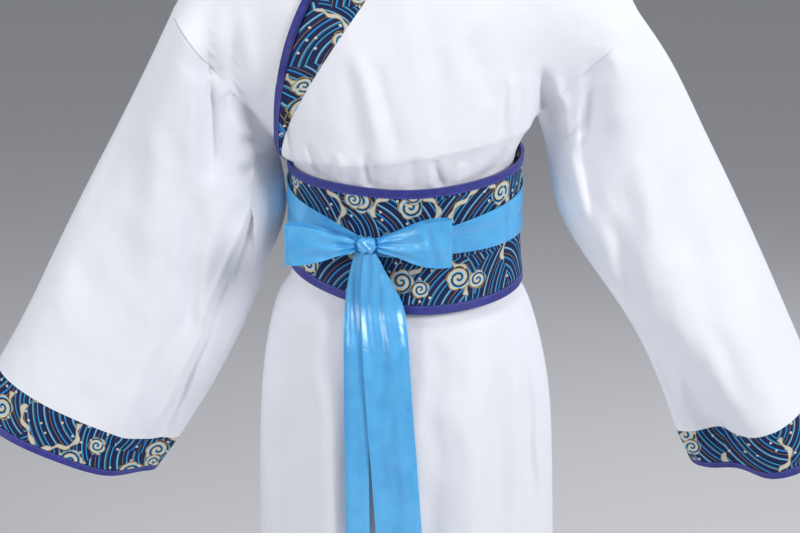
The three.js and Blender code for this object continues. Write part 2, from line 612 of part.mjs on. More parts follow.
// The knot is ribbon bound tightly on itself, so it is drawn solid.
function ball(centre, half, turns, rings) {
  const positions = [centre.x, centre.y, centre.z + half.z];
  const index = [];
  for (let row = 1; row < rings; row++)
    for (let col = 0; col < turns; col++) {
      const [polar, turn] = [(Math.PI * row) / rings, (2 * Math.PI * col) / turns];
      const out = Math.sin(polar) ** 0.8;
      positions.push(
        centre.x + half.x * out * Math.cos(turn),
        centre.y + half.y * out * Math.sin(turn),
        centre.z + half.z * Math.cos(polar),
      );
    }
  positions.push(centre.x, centre.y, centre.z - half.z);
  const at = (row, col) => 1 + (row - 1) * turns + (col % turns);
  for (let col = 0; col < turns; col++) {
    index.push(0, at(1, col), at(1, col + 1));
    index.push(positions.length / 3 - 1, at(rings - 1, col + 1), at(rings - 1, col));
    for (let row = 1; row < rings - 1; row++) {
      index.push(at(row, col), at(row + 1, col), at(row + 1, col + 1));
      index.push(at(row, col), at(row + 1, col + 1), at(row, col + 1));
    }
  }
  const geometry = new THREE.BufferGeometry();
  geometry.setAttribute("position", new THREE.Float32BufferAttribute(positions, 3));
  geometry.setIndex(index);
  geometry.computeVertexNormals();
  return geometry;
}
add("bow_knot", ball(KNOT, KNOT.half, 16, 10), satin);

// How far forward of the side seams the robe stands at a height, beside the middle.
function frontAt(z) {
  let [low, high] = [1.2, HEM];
  for (let i = 0; i < 24; i++) {
    const mid = (low + high) / 2;
    if (robe(-0.2, mid).z > z) low = mid;
    else high = mid;
  }
  return -robe(-0.2, low).y;
}
// Each tail's distance down from the shoulders, middle, width and clearance of the robe. folded 1 doubles
// it lengthwise.
const TAIL_LEFT = [
  { down: 341.4, x: -34, width: 12, clear: 21.2, folded: 0 },
  { down: 365, x: -29, width: 26, clear: 20, folded: 0 },
  { down: 400, x: -21, width: 44, clear: 19, folded: 0 },
  { down: 470, x: -17, width: 45, clear: 17, folded: 0 },
  { down: 600, x: -7, width: 45, clear: 16, folded: 0 },
  { down: 766, x: 2, width: 45, clear: 16, folded: 0 },
];
const TAIL_RIGHT = [
  { down: 341.4, x: -42, width: 11, clear: 16.4, folded: 1 },
  { down: 365, x: -44, width: 19, clear: 13.2, folded: 1 },
  { down: 400, x: -46, width: 25, clear: 12.7, folded: 1 },
  { down: 470, x: -47, width: 23, clear: 11.5, folded: 1 },
  { down: 742, x: -45, width: 23, clear: 11.5, folded: 1 },
];
for (const [name, rows] of Object.entries({ tail_left: TAIL_LEFT, tail_right: TAIL_RIGHT })) {
  const surface = (across, down) => {
    const get = (key) => column(rows, "down", key, down);
    const p = across * 2 - 1;
    const doubled = rows[0].folded === 1;
    const out = doubled ? (Math.hypot(p, 0.1) - 0.1) / 0.905 - 0.5 : p / 2;
    const curl = 1.5 * hump(p + 0.5, 0.3) - 2 * hump(p - 0.35, 0.25);
    const crease = doubled ? 2.3 * Math.tanh(3.5 * p) : (curl * get("width")) / RIBBON_WIDTH;
    return new THREE.Vector3(get("x") + get("width") * out, -frontAt(-down) - get("clear") + crease, -down);
  };
  const [top, bottom] = [rows[0].down, rows.at(-1).down];
  add(
    name,
    wall({
      surface,
      us: steps(0, 1, 12),
      vs: [top, 354, 365, 382, 400, 425, 450, 500, 560, 630, 700, bottom],
      inner: -RIBBON_WALL / 2,
      outer: RIBBON_WALL / 2,
      facing: -1,
    }),
    satin,
  );
}

export default garment;
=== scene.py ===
import math

import bmesh
import bpy
import numpy as np
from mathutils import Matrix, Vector
from mathutils.bvhtree import BVHTree


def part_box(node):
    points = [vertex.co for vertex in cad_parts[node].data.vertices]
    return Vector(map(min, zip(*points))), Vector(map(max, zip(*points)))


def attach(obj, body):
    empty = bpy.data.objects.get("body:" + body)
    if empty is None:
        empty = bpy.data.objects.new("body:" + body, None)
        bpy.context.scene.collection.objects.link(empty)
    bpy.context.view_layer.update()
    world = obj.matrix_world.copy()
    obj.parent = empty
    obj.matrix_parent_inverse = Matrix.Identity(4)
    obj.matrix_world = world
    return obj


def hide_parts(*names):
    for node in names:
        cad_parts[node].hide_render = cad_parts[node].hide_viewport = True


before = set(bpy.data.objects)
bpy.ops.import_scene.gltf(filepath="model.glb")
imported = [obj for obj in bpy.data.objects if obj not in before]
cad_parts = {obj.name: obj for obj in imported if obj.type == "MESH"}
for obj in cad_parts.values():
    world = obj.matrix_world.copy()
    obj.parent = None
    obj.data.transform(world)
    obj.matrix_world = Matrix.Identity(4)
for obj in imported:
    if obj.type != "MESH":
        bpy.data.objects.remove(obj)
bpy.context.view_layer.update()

# Camera
# It looks level with the waist from a little above, and crops the robe at the neck and below the
# thighs, as the photograph does.
CAMERA_AIM = Vector((-0.005, 0, -0.378))
CAMERA_AWAY = 2.2
CAMERA_TILT = math.radians(14)
camera = bpy.data.objects.new("camera", bpy.data.cameras.new("camera"))
camera.data.lens = 99
camera.data.sensor_width = 36
back_from_aim = Vector((0, -math.cos(CAMERA_TILT), math.sin(CAMERA_TILT)))
camera.location = CAMERA_AIM + back_from_aim * CAMERA_AWAY
camera.rotation_euler = (math.radians(90) - CAMERA_TILT, 0, 0)
bpy.context.scene.collection.objects.link(camera)
bpy.context.scene.camera = camera

# Back
# The back is cut in one from shoulder to hem, of plain white woven cloth with a soft hand, and is
# sewn to both fronts at the shoulders and sides. Its hem is turned up twice and stitched.
MM = 0.001


def points_of(mesh):
    """A mesh's points in millimetres."""
    flat = np.empty(len(mesh.vertices) * 3)
    mesh.vertices.foreach_get("co", flat)
    return flat.reshape(-1, 3) / MM


# Points nearer than SAME_POINT are one, and two triangles are one face where they bend and skew
# less than these angles. An edge is cut cloth where it is sharper than CUT_EDGE_ANGLE and beside a
# face no wider than a wall is thick.
SAME_POINT = 1e-6
BEND_MOST = 1.0
SKEW_MOST = 1.6
CUT_EDGE_ANGLE = math.radians(50)
WALL_MOST = 3.6 * MM


def cloth_from(node, name, levels=3):
    """A thin shell on the node's solid, its cut edges crisp and the rest of it rounded."""
    shell = bmesh.new()
    shell.from_mesh(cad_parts[node].data)
    bmesh.ops.remove_doubles(shell, verts=shell.verts, dist=SAME_POINT)
    bmesh.ops.join_triangles(
        shell, faces=shell.faces, angle_face_threshold=BEND_MOST, angle_shape_threshold=SKEW_MOST
    )
    cut_edge = shell.edges.layers.float.new("crease_edge")
    for edge in shell.edges:
        thinnest = min(e.calc_length() for f in edge.link_faces for e in f.edges)
        if edge.calc_face_angle(0) > CUT_EDGE_ANGLE and thinnest < WALL_MOST:
            edge[cut_edge] = 1
    rough = bpy.data.meshes.new(name + "_rough")
    shell.to_mesh(rough)
    shell.free()
    piece = bpy.data.objects.new(name, rough)
    bpy.context.scene.collection.objects.link(piece)
    rounding = piece.modifiers.new("rounding", "SUBSURF")
    rounding.levels = rounding.render_levels = levels
    drawn = piece.evaluated_get(bpy.context.evaluated_depsgraph_get())
    mesh = bpy.data.meshes.new_from_object(drawn)
    piece.modifiers.clear()
    piece.data = mesh
    mesh.name = name
    bpy.data.meshes.remove(rough)
    mesh.polygons.foreach_set("use_smooth", [True] * len(mesh.polygons))
    kept = np.zeros(len(mesh.edges))
    mesh.attributes["crease_edge"].data.foreach_get("value", kept)
    sharp = mesh.attributes.new("sharp_edge", "BOOLEAN", "EDGE")
    sharp.data.foreach_set("value", kept > 0.5)
    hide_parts(node)
    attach(piece, "root")
    return piece


def smooth(low, high, x):
    """0 up to low and 1 from high, softly in between."""
    t = np.clip((x - low) / (high - low), 0, 1)
    return t * t * (3 - 2 * t)


# Each creased piece's points as it was cut, and how far they were moved, in mm.
cut_and_moved = {}


def surface_of(pieces):
    """The pieces' points as cut, how far each was moved, their faces and a tree of those."""
    cut = np.concatenate([cut_and_moved[piece.name][0] for piece in pieces])
    moved = np.concatenate([cut_and_moved[piece.name][1] for piece in pieces])
    faces = []
    first = 0
    for piece in pieces:
        faces += [[first + v for v in face.vertices] for face in piece.data.polygons]
        first += len(piece.data.vertices)
    return cut, moved, faces, BVHTree.FromPolygons([Vector(point) for point in cut], faces)


# In mm: how far from a seam creases carry over it, how near to another piece cloth is tucked under
# it, on its faces and on its rim, and how far under it then goes. CORNER_LEAST keeps the share of
# a corner finite where a point lies on it.
SEAM_EASE = 24
SEAM_REACH = 1.5
RIM_REACH = 4.0
SEAM_TUCK = 0.35
CORNER_LEAST = 0.01


def crease(piece, shift, *sewn_to, tucked=True):
    """Moves a piece's points by what shift says of them, in mm. Beside the seams it takes the
    creases of the pieces it is sewn to, and if it is tucked, its rim goes just under theirs."""
    points = points_of(piece.data)
    moved = shift(points)
    if sewn_to:
        reach = np.full(len(points), SEAM_REACH)
        for edge, crisp in zip(piece.data.edges, piece.data.attributes["sharp_edge"].data):
            if crisp.value:
                reach[list(edge.vertices)] = RIM_REACH
        cut, carried, faces, tree = surface_of(sewn_to)
        for i, point in enumerate(points):
            place, _, face, away = tree.find_nearest(Vector(point), SEAM_EASE)
            if place is None:
                continue
            corners = faces[face]
            to_corners = np.linalg.norm(cut[corners] - np.array(place), axis=1)
            pull = 1 / (to_corners + CORNER_LEAST)
            nearby = (carried[corners] * pull[:, None]).sum(0) / pull.sum()
            moved[i] += (nearby - moved[i]) * (1 - smooth(0, SEAM_EASE, away))
            if tucked and 0 < away < reach[i]:
                moved[i] += (np.array(place) - point) * (1 + SEAM_TUCK / away)
    cut_and_moved[piece.name] = points, moved
    piece.data.vertices.foreach_set("co", ((points + moved) * MM).astype(np.float32).ravel())
    piece.data.update()


# How many swells the random table has each way, and where on it the robe's origin lies.
RIPPLE_TABLE = 64
RIPPLE_START = (31, 57)


def ripples(x, z, size, seed):
    """Even random swells from -1 to 1, that size apart."""
    table = np.random.default_rng(seed).uniform(-1, 1, (RIPPLE_TABLE, RIPPLE_TABLE))
    u, v = x / size + RIPPLE_START[0], z / size + RIPPLE_START[1]
    i, j = np.floor(u).astype(int), np.floor(v).astype(int)
    a, b = smooth(0, 1, u - i), smooth(0, 1, v - j)

    def at(di, dj):
        return table[(i + di) % RIPPLE_TABLE, (j + dj) % RIPPLE_TABLE]

    low = at(0, 0) * (1 - a) + at(1, 0) * a
    high = at(0, 1) * (1 - a) + at(1, 1) * a
    return low * (1 - b) + high * b


# Creases of the front, seen from the front, in mm: where each starts and ends, how wide it is to
# one side, and how deep. A negative depth is a ridge.
FRONT_CREASES = [
    # x0, z0, x1, z1, width, depth
    (-48, -150, -20, -262, 9, -2.6),  # chest, under the lapel
    (-30, -160, -4, -270, 7, 1.8),
    (62, -135, 84, -200, 11, 2.4),
    (26, -118, 34, -232, 13, 1.8),
    (-112, -212, -104, -262, 4, 3.6),  # gathers above the waistband
    (-92, -240, -76, -284, 4.5, 3),
    (-64, -246, -58, -286, 5, -2),
    (-38, -246, -30, -290, 4.5, 2.8),
    (6, -250, 8, -292, 6, 2),
    (28, -252, 38, -292, 4.5, 3.2),
    (56, -256, 52, -290, 6, -2.2),
    (98, -246, 72, -286, 6, 3.2),
    (116, -232, 108, -276, 4, 3.6),
    (104, -176, 102, -236, 5, -4),  # the fold that drops from the armpit
    (129, -172, 137, -240, 7, 7),
    (146, -178, 156, -246, 6, -4),
    (-189, -136, -192, -290, 7, 4.2),  # the deep fold beside the collar, right sleeve
    (-178, -110, -180, -212, 9, -3),
    (-160, -140, -170, -186, 9, 2),
    (-168, -180, -142, -244, 6, 4),
    (-150, -120, -154, -200, 8, -2.4),
    (-130, -250, -160, -241, 4, 3.4),
    (-130, -262, -162, -276, 4.5, 3),
    (-262, -176, -330, -414, 20, 3.6),
    (-236, -176, -252, -436, 15, -3),
    (-204, -296, -214, -440, 9, 3.6),
    (-186, -310, -216, -520, 10, -2.8),
    (-290, -300, -372, -452, 16, -2.4),
    (-132, -280, -196, -440, 4, 4.6),
    (-190, -430, -252, -556, 4, 5),
    (-236, -450, -270, -560, 9, 2.2),
    (186, -190, 171, -276, 8, 4.4),  # left sleeve
    (198, -150, 196, -232, 9, -2.6),
    (152, -250, 172, -228, 4, 3.4),
    (150, -272, 161, -312, 4.5, 3.6),
    (164, -262, 176, -320, 5, -2.4),
    (262, -268, 296, -430, 17, 3.4),
    (222, -252, 242, -396, 12, -3),
    (200, -318, 236, -430, 8, 2.8),
    (296, -240, 362, -400, 16, -2.2),
    (300, -420, 352, -520, 11, 2.6),
    (-112, -404, -124, -900, 24, 7),  # skirt
    (-84, -410, -86, -690, 13, -3),
    (-52, -430, -46, -840, 12, 3.4),
    (30, -424, 26, -700, 12, 3),
    (62, -430, 72, -860, 15, -3.6),
    (96, -414, 88, -780, 11, 4),
    (128, -440, 138, -720, 7, -3),
    (118, -470, 130, -640, 6, 3),
    (-6, -620, 2, -980, 16, -3.4),
    (-130, -620, -140, -980, 12, -3),
    (44, -700, 50, -985, 12, 3.2),
    (110, -720, 114, -985, 13, -3.2),
]
# Laps of the front, in the same way: the cloth to the right of each line as it is followed, looking
# at the front, is the lower layer, set back by the depth and back in line after the width.
FRONT_LAPS = [
    (232, -424, 344, -560, 54, 12),  # left sleeve, its lower end
    (178, -322, 168, -206, 13, 3.4),
    (134, -246, 128, -168, 9, 4),  # under the left arm
    (-190, -292, -187, -126, 15, 3.6),  # right sleeve, beside the collar
    (-236, -566, -138, -292, 17, 5.5),
]
BACK_CREASES = [
    (-20, -120, -34, -262, 14, 2.4),  # across the shoulder blades
    (40, -96, 52, -240, 12, -2.2),
    (-82, -110, -66, -220, 11, -2.4),
    (92, -150, 80, -256, 8, 3),
    (-110, -196, -98, -262, 5, 3.4),  # gathers above the waistband
    (-60, -236, -54, -268, 5, 2.8),
    (-22, -236, -20, -266, 5, -2),
    (14, -238, 16, -264, 4.5, 3),
    (46, -234, 40, -264, 5, -2),
    (70, -232, 62, -266, 4.5, 2.8),
    (112, -214, 104, -264, 4.5, 3.4),
    (130, -170, 140, -240, 7, 5),
    (-130, -176, -142, -246, 7, 5),
    (-190, -140, -186, -300, 7, 4.6),  # right sleeve
    (-172, -130, -166, -230, 7, -3),
    (-250, -190, -318, -420, 18, 3.4),
    (-226, -210, -246, -440, 14, -3),
    (-206, -300, -230, -500, 10, 3),
    (-280, -330, -340, -470, 14, -2.2),
    (188, -160, 180, -280, 7, 4.4),  # left sleeve
    (170, -200, 164, -300, 6, -2.6),
    (250, -240, 300, -440, 17, 3.4),
    (218, -250, 250, -420, 13, -3),
    (300, -290, 352, -440, 14, -2.2),
    (-96, -400, -104, -780, 13, 3.4),  # skirt
    (-60, -400, -64, -720, 13, -3),
    (-22, -400, -18, -860, 14, 3.8),
    (20, -400, 26, -700, 12, -3),
    (56, -400, 62, -900, 13, 3.6),
    (98, -400, 104, -760, 12, -3),
    (130, -420, 138, -840, 9, 3),
    (-128, -480, -140, -900, 10, -3),
    (-40, -760, -44, -985, 13, -3),
    (84, -780, 90, -985, 12, 3),
]


def beside(x, z, x0, z0, x1, z1):
    """How far along a line each place is, from 0 to 1, and how far to its right, in mm."""
    run_x, run_z = x1 - x0, z1 - z0
    length = math.hypot(run_x, run_z)
    along = ((x - x0) * run_x + (z - z0) * run_z) / length**2
    return along, ((x - x0) * run_z - (z - z0) * run_x) / length


def hump(off, width):
    """1 in the middle, falling softly to nothing on both sides."""
    return np.exp(-((off / width) ** 2))


# Worn creases are this much deeper than the tables say. The rise beside each is a share of its
# depth, and lies a share of its width away.
CREASE_SHARE = 1.6
RISE_SHARE = 0.42
RISE_AWAY = 1.7


def creased(x, z, rows):
    """How far cloth lies in at x, z: each row a soft trough with a lower rise on one side."""
    deep = np.zeros(len(x))
    wander = 5 * ripples(x, z, 46, 3)
    for x0, z0, x1, z1, width, depth in rows:
        along, off = beside(x, z, x0, z0, x1, z1)
        off = off + wander * min(1, width / 10)
        # It is deepest midway, fades out past both ends, and widens as it goes.
        near = np.sin(np.pi * np.clip(along * 0.86 + 0.07, 0, 1)) ** 0.8
        near = near * smooth(-0.07, 0.12, along) * (1 - smooth(0.88, 1.07, along))
        broad = width * (0.8 + 0.5 * np.clip(along, 0, 1))
        trough = hump(off, broad) - RISE_SHARE * hump(off - RISE_AWAY * broad, broad)
        deep += depth * near * trough
    return CREASE_SHARE * deep


def lapped(x, z, rows):
    """How far the lower layers of laps lie in at x, z."""
    deep = np.zeros(len(x))
    wander = 3 * ripples(x, z, 52, 4)
    for x0, z0, x1, z1, width, depth in rows:
        along, off = beside(x, z, x0, z0, x1, z1)
        off = off + wander
        near = smooth(-0.02, 0.2, along) * (1 - smooth(0.8, 1.02, along))
        deep += depth * near * smooth(-3, 2.4, off) * np.exp(-((off.clip(0) / width) ** 1.5))
    return deep


# The waistband's upper and lower edges at the sides, how much lower it is in front and higher
# behind, and half the width that it covers, in mm. Front and back creases meet over SIDE_BLEND.
BELT_TOP = -262
BELT_FOOT = -390
BELT_DIP = 24
BELT_HALF = 150
SIDE_BLEND = (2, 22)


def worn_creases(points, middle_y=0):
    """The robe's creases. Its layers share them, so that they lie on each other, and they fade
    under the waistband."""
    x, y, z = points.T
    belt_z = z + BELT_DIP * -y / np.hypot(x, y).clip(1)
    off_belt = smooth(BELT_TOP - 10, BELT_TOP + 8, belt_z)
    off_belt += 1 - smooth(BELT_FOOT - 10, BELT_FOOT + 6, belt_z)
    off_belt = np.where(np.abs(x) < BELT_HALF, off_belt, 1).clip(0, 1)
    from_middle = y - middle_y
    front = smooth(*SIDE_BLEND, -from_middle)
    back = smooth(*SIDE_BLEND, from_middle)
    swell = 1.2 * ripples(x, z * 0.6, 34, 11) + 0.6 * ripples(x, z * 0.7, 14, 12)
    swell += 0.22 * ripples(x, z, 6, 13)
    shift = np.zeros_like(points)
    shift[:, 1] = off_belt * (
        front * (creased(x, z, FRONT_CREASES) + lapped(x, z, FRONT_LAPS) + swell)
        - back * (creased(x, z, BACK_CREASES) + swell)
    )
    return shift


class Wire:
    """A socket in a material. Sums on wires add Math nodes, and node() adds any other kind."""

    def __init__(self, socket):
        self.socket = socket
        self.tree = socket.id_data

    def node(self, kind, settings, values, out=0):
        made = self.tree.nodes.new("ShaderNode" + kind)
        for name, setting in settings.items():
            if name == "stops":
                ramp = made.color_ramp.elements
                while len(ramp) < len(setting):
                    ramp.new(1)
                for stop, (place, colour) in zip(ramp, setting):
                    stop.position = place
                    stop.color = (*colour, 1)
            elif name == "interpolation":
                made.color_ramp.interpolation = setting
            else:
                setattr(made, name, setting)
        for key, value in values.items():
            if isinstance(value, Wire):
                self.tree.links.new(value.socket, made.inputs[key])
            else:
                made.inputs[key].default_value = value
        return Wire(made.outputs[out])

    def math(self, operation, *values):
        return self.node("Math", {"operation": operation}, dict(enumerate(values)))

    def __add__(self, other):
        return self.math("ADD", self, other)

    __radd__ = __add__

    def __sub__(self, other):
        return self.math("SUBTRACT", self, other)

    def __rsub__(self, other):
        return self.math("SUBTRACT", other, self)

    def __mul__(self, other):
        return self.math("MULTIPLY", self, other)

    __rmul__ = __mul__

    def __truediv__(self, other):
        return self.math("DIVIDE", self, other)

    def __mod__(self, other):
        return self.math("FLOORED_MODULO", self, other)

    def __lt__(self, other):
        return self.math("LESS_THAN", self, other)

    def __gt__(self, other):
        return self.math("GREATER_THAN", self, other)

    def __abs__(self):
        return self.math("ABSOLUTE", self)

    def floor(self):
        return self.math("FLOOR", self)

    def sin(self):
        return self.math("SINE", self)

    def step(self, low, high):
        """0 below low and 1 above high, softly in between."""
        return self.node(
            "MapRange", {"interpolation_type": "SMOOTHSTEP"}, {0: self, 1: low, 2: high}
        )

    def tint(self, off, on):
        """The colour off where this mask is 0 and on where it is 1."""
        ends = [c if isinstance(c, Wire) else (*c, 1) for c in (off, on)]
        return self.node("Mix", {"data_type": "RGBA"}, {0: self, 6: ends[0], 7: ends[1]}, 2)


def finish_called(name, **same_all_over):
    """A material with these values all over, and its shader."""
    material = bpy.data.materials.new(name)
    material.use_nodes = True
    shader = material.node_tree.nodes["Principled BSDF"]
    for socket, value in same_all_over.items():
        shader.inputs[socket.replace("_", " ")].default_value = value
    return material, shader


def vary(shader, **sockets):
    """Joins what changes over the cloth to the shader's sockets."""
    for socket, wire in sockets.items():
        shader.id_data.links.new(wire.socket, shader.inputs[socket.replace("_", " ")])


def place_on(shader):
    """A wire to each point's place, in metres."""
    return Wire(shader.inputs["Normal"]).node("TexCoord", {}, {}, 3)


def parts_of(spot, kind="SeparateXYZ"):
    """Wires to the three parts of a vector or a colour."""
    made = spot.node(kind, {}, {0: spot}).socket.node
    return [Wire(made.outputs[part]) for part in range(3)]


def in_mm(spot):
    """Wires to x, y and z of a place, in millimetres."""
    return [part * 1000 for part in parts_of(spot)]


WHITE = (0.82, 0.835, 0.88)
WHITE_SHADE = (0.775, 0.79, 0.845)
HEM_THREAD = (0.7, 0.72, 0.78)
# In mm: the height of the hem's turned edge, the stitches along it and how much of each shows, and
# how far apart the threads of the weave are.
HEM_TURN_Z = -967
STITCH = 3.2
STITCH_SHOWS = 2.2
THREADS_APART = 0.45
white_cloth, shader = finish_called("white cloth", Sheen_Weight=0.25, Sheen_Roughness=0.4)
spot = place_on(shader)
x, y, z = in_mm(spot)
# A plain weave of over and under threads, with a slub here and there.
warp = (x * (math.pi / THREADS_APART)).sin()
weft = (z * (math.pi / THREADS_APART)).sin()
slub = spot.node("TexNoise", {}, {"Vector": spot, "Scale": 260.0, "Detail": 3.0})
cloudy = spot.node("TexNoise", {}, {"Vector": spot, "Scale": 9.0, "Detail": 2.0})
turn_edge = 1 - abs(z - HEM_TURN_Z).step(0.3, 1.2)
stitches = turn_edge * ((x + y) % STITCH < STITCH_SHOWS)
long_way = spot.node("VectorMath", {"operation": "MULTIPLY"}, {0: spot, 1: (34.0, 34.0, 11.0)})
wrinkles = spot.node(
    "TexNoise", {}, {"Vector": long_way, "Scale": 1.0, "Detail": 1.5, "Distortion": 0.7}
)
relief = warp * weft * 0.25 + slub * 0.8 + wrinkles * 4.5 - turn_edge * 1.6
tone = slub * 0.035 + cloudy * 0.03
vary(
    shader,
    Base_Color=(stitches * 0.5).tint(tone.step(0, 0.07).tint(WHITE_SHADE, WHITE), HEM_THREAD),
    Roughness=0.72 + slub * 0.12,
    Normal=spot.node("Bump", {}, {"Strength": 0.35, "Distance": 0.0004, "Height": relief}),
)


def dress(piece, material):
    """Puts the material on a piece."""
    piece.data.materials.clear()
    piece.data.materials.append(material)


back = cloth_from("back", "back_panel")
crease(back, worn_creases)
dress(back, white_cloth)

# Fronts
# Each front is cut in one from shoulder to hem, in the same white cloth as the back. The wearer's
# left front is the upper one and laps right over the other; both are sewn to the collar band.
front_under = cloth_from("front_under", "under_front_panel", levels=2)
front_upper = cloth_from("front_upper", "upper_front_panel")
for front in (front_under, front_upper):
    crease(front, worn_creases, back)
    dress(front, white_cloth)

# Sleeves
# Each sleeve is one wide tapered piece of the white cloth, folded over the arm, sewn to the
# dropped armhole and closed by a seam along its underside. It hangs flat, with a lapped fold.
SLEEVE_AREAS = {"right": 0.176, "left": 0.173}
sleeves = {}
sleeve_creases = {}


def middle_of(piece):
    """Where the middle between a flat tube's two layers is: gives y for points at x and z."""

    def level(points):
        return np.column_stack([np.ones(len(points)), points[:, 0], points[:, 2]])

    points = points_of(piece.data)
    plane = np.linalg.lstsq(level(points), points[:, 1], rcond=None)[0]
    return lambda points: level(points) @ plane


def creases_about(middle):
    """The robe's creases, with the front and back layers told apart by their middle."""
    return lambda points: worn_creases(points, middle(points))


for side, area in SLEEVE_AREAS.items():
    sleeve = cloth_from("sleeve_" + side, side + "_sleeve_cloth")
    sleeve_creases[side] = creases_about(middle_of(sleeve))
    crease(sleeve, sleeve_creases[side], back, front_under, front_upper)
    dress(sleeve, white_cloth)
    sleeves[side] = sleeve

# Cuffs
# A band of wave print, 58 mm deep, closes each sleeve. The print is a generic wave-and-curl
# repeat on navy: bundles of blue stripes, gold lines, cream crests, curls and drops of foam.
NAVY = (0.006, 0.01, 0.062)
TEAL = (0.01, 0.18, 0.33)
CYAN = (0.024, 0.4, 0.76)
AZURE = (0.012, 0.17, 0.52)
CREAM = (0.62, 0.6, 0.5)
GOLD = (0.36, 0.26, 0.1)
RUBBED = (0.03, 0.05, 0.11)


def length_of(across, up):
    """How far the two distances come to together."""
    square = across * across + up * up
    return square.math("POWER", square, 0.5)


def lattice(u, v, wide, high, seed, jitter):
    """Staggered cells. Gives the distance and angle from each cell's own point, a random number,
    a random hand, -1 or 1, and the distances across and up from that point."""
    row = (v / high).floor()
    shifted = u / wide + row * 0.5
    column = shifted.floor()
    cell = u.node("CombineXYZ", {}, {0: column, 1: row, 2: float(seed)})
    drawn = u.node("TexWhiteNoise", {"noise_dimensions": "3D"}, {"Vector": cell}, 1)
    aside, above, chance = parts_of(drawn, "SeparateColor")
    across = (shifted - column - 0.5) * wide - (aside - 0.5) * jitter
    up = (v / high - row - 0.5) * high - (above - 0.5) * jitter
    hand = (aside > 0.5) * 2 - 1
    return length_of(across, up), u.math("ARCTAN2", up, across), chance, hand, (across, up)


def kept_on(shader, name):
    """A wire to the cloth coordinates that each point keeps, in millimetres."""
    return Wire(shader.inputs["Normal"]).node("Attribute", {"attribute_name": name}, {}, 1)


# One bundle of stripes: where in it each colour starts.
BUNDLE = 26.0
STRIPES = [
    (0, NAVY), (0.15, CYAN), (0.185, NAVY), (0.3, TEAL), (0.34, CYAN), (0.365, GOLD),
    (0.38, NAVY), (0.54, AZURE), (0.58, CYAN), (0.6, NAVY), (0.71, GOLD), (0.725, NAVY),
    (0.86, TEAL), (0.9, CREAM), (0.915, CYAN), (0.945, NAVY),
]


def striped(distance):
    """Stripes of the blues, with gold and cream lines between them."""
    part = (distance / BUNDLE) % 1
    return part.node("ValToRGB", {"stops": STRIPES, "interpolation": "CONSTANT"}, {0: part})


wave_print, shader = finish_called("wave print", Specular_IOR_Level=0.25)
spot = kept_on(shader, "cut")
u, v, _ = parts_of(spot)
far_1, angle_1, _, hand_1, (across_1, up_1) = lattice(u, v, wide=92, high=66, seed=1, jitter=26)
far_2, angle_2, chance_2, hand_2, (across_2, up_2) = lattice(
    u + 40, v + 30, wide=84, high=58, seed=2, jitter=22
)
# The stripes of each wave bend about a point far to one side of it, so they sweep up to its crest.
bend_1 = length_of(across_1 + hand_1 * 52, up_1 + 24)
bend_2 = length_of(across_2 + hand_2 * 44, up_2 + 30 + chance_2 * 12)
swept = striped(u * 0.9 + v * 0.3 + (v / 17).sin() * 8 + (u / 31).sin() * 7)
wave_rim = 42 + (angle_1 * 3).sin() * 5
swept = (far_1 < wave_rim).tint(swept, striped(bend_1 * 1.15))
swell_rim = 29 + (angle_2 * 5).sin() * 2.6 + (angle_2 * 13).sin() * 0.8
swept = (far_2 < swell_rim).tint(swept, striped(bend_2 + chance_2 * 9))
crest_width = 1.5 + (angle_2 * 11).sin() * 0.9
crest = (abs(far_2 - swell_rim) < crest_width) * (angle_2 > -0.4)
crest_line = (abs(far_2 - swell_rim) < crest_width + 0.8) * (angle_2 > -0.42)
colour = crest.tint(crest_line.tint(swept, GOLD), CREAM)

# Curls of foam: how far apart their cells are across and up, how large they are, and how far the
# cells are shifted, in mm.
CURLS = [
    # seed, wide, high, size, shift
    (3, 47, 37, 9.5, 0),
    (4, 61, 45, 7.0, 21),
]
gold = crest_line * (1 - crest)
for seed, wide, high, size, shift in CURLS:
    far, angle, chance, hand, _ = lattice(u + shift, v + shift, wide, high, seed, jitter=12)
    turned = angle * hand + chance * 6.28
    rim = size * (1 + abs((turned * 2.5).sin()) * 0.2)
    there = chance > 0.38
    inside = (far < rim) * there
    outline = (far < rim + 0.9) * there * (1 - inside)
    coil = (far / (size * 0.62) - turned / (2 * math.pi)) % 1
    foam = (coil < 0.5) * inside
    foam_line = (abs(coil - 0.54) < 0.06) * inside
    wash = (coil > 0.84) * inside
    colour = inside.tint(colour, NAVY)
    colour = wash.tint(colour, CYAN)
    colour = foam.tint(colour, CREAM)
    line = (outline + foam_line).math("MINIMUM", outline + foam_line, 1.0)
    colour = line.tint(colour, GOLD)
    gold = gold * (1 - inside) + line * (1 - gold)

# Drops of foam are strewn between them.
far, _, chance, _, _ = lattice(u, v, wide=10.5, high=9.5, seed=5, jitter=5)
drop_size = 0.7 + chance * 0.7
drops = (far < drop_size) * (chance > 0.72)
colour = drops.tint(colour, CREAM)
grain = spot.node("TexNoise", {}, {"Vector": spot, "Scale": 1.1, "Detail": 3.0})
colour = (grain * 0.14).tint(colour, RUBBED)
# The print's weave is as fine as the white cloth's: 7 radians to the millimetre.
PRINT_WEAVE = 7.0
weave = (u * PRINT_WEAVE).sin() * (v * PRINT_WEAVE).sin()
relief = weave * 0.3 + gold * 0.6 + grain
vary(
    shader,
    Base_Color=colour,
    Roughness=0.62 - gold * 0.25,
    Metallic=gold * 0.45,
    Normal=spot.node("Bump", {}, {"Strength": 0.3, "Distance": 0.0003, "Height": relief}),
)


def keep_coordinates(piece, name, values):
    """Keeps one or two cloth coordinates on each point, in millimetres, for the material."""
    full = np.zeros((len(values), 3), np.float32)
    full[:, : values.shape[1]] = values
    kept = piece.data.attributes.new(name, "FLOAT_VECTOR", "POINT")
    kept.data.foreach_set("vector", full.ravel())


